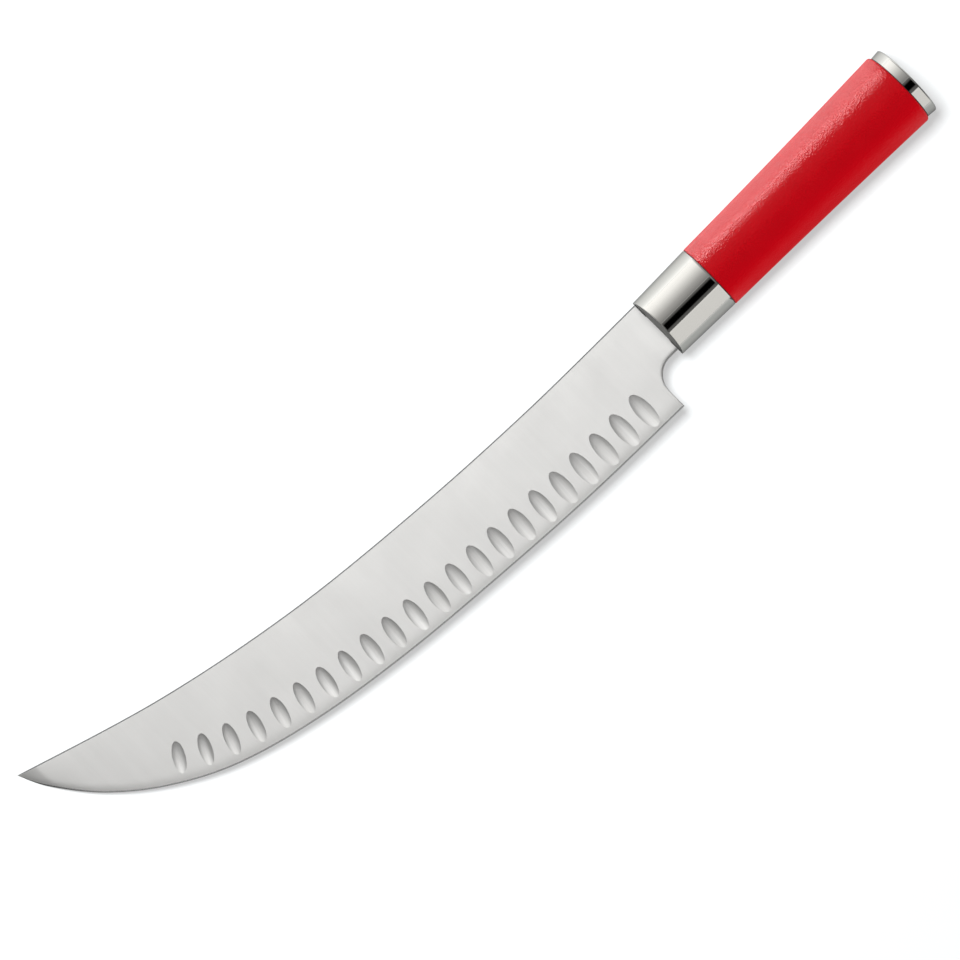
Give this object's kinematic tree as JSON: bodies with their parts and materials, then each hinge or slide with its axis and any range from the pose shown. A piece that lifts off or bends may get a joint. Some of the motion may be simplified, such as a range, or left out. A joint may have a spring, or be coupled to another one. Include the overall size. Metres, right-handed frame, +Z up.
{
  "type": "butcher knife",
  "caption": "Butcher's knife with a broad upswept blade, hollow-ground scallops along the edge, a polished collar, a round flared red grip and a polished end cap.",
  "frame": {"origin": "on the table under the middle of the bounding box, with the knife lying at rest on its collar rim, its grip's rear rim and its tip", "axes": "+X along the handle towards the tip, +Y towards the cutting edge, +Z up"},
  "size_m": [0.374, 0.069, 0.0288],
  "materials": {
    "blade_steel": "satin",
    "polished_steel": "polished",
    "grip_plastic": "satin",
    "gasket_rubber": "matte",
    "bush_plastic": "matte",
    "rod_steel": "satin"
  },
  "bodies": {
    "root": {"blade": "blade_steel", "bolster_collar": "polished_steel", "tang_bush": "bush_plastic", "collar_gasket": "gasket_rubber", "grip": "grip_plastic", "tie_rod": "rod_steel", "tang_rivet_front": "rod_steel", "tang_rivet_rear": "rod_steel", "rod_washer": "rod_steel", "rod_nut": "rod_steel", "cap_gasket": "gasket_rubber", "end_cap": "polished_steel"}
  },
  "joints": []
}
